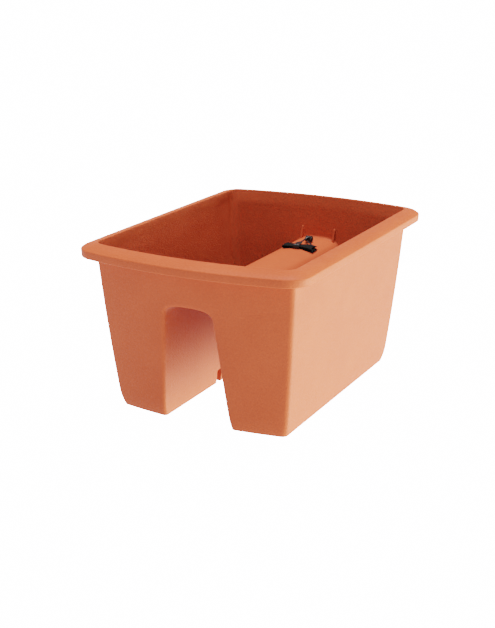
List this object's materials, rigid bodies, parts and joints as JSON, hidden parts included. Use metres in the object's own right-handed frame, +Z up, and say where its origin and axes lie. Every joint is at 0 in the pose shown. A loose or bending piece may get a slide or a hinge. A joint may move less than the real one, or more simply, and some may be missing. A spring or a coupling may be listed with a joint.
{
  "type": "railing planter",
  "caption": "Self-watering saddle planter that straddles a balcony rail, with two troughs, lift-out false floors over water reservoirs and felt wicks.",
  "frame": {"origin": "on the ground, under the middle of the planter", "axes": "+X across the rail, +Y along the rail, +Z up"},
  "size_m": [0.291, 0.4, 0.204],
  "materials": {
    "terracotta_plastic": "moulded, fine matte grain",
    "dark_plastic": "moulded, matte",
    "wick_felt": "needled felt"
  },
  "bodies": {
    "planter": {"planter_body": "terracotta_plastic"},
    "floor_left": {"reservoir_floor_left": "dark_plastic", "wick_left_front": "wick_felt", "wick_left_rear": "wick_felt"},
    "floor_right": {"reservoir_floor_right": "dark_plastic", "wick_right_front": "wick_felt", "wick_right_rear": "wick_felt"},
    "spare": {"spare_wick": "wick_felt", "spare_wick_tie": "wick_felt"}
  },
  "joints": [
    {"name": "floor_left_lift", "type": "slide", "parent": "planter", "child": "floor_left", "axis": [0, 0, 1], "range_m": [0, 0.2]},
    {"name": "floor_right_lift", "type": "slide", "parent": "planter", "child": "floor_right", "axis": [0, 0, 1], "range_m": [0, 0.2]},
    {"name": "spare_wick_lift", "type": "slide", "parent": "planter", "child": "spare", "axis": [0, 0, 1], "range_m": [0, 0.1]}
  ]
}
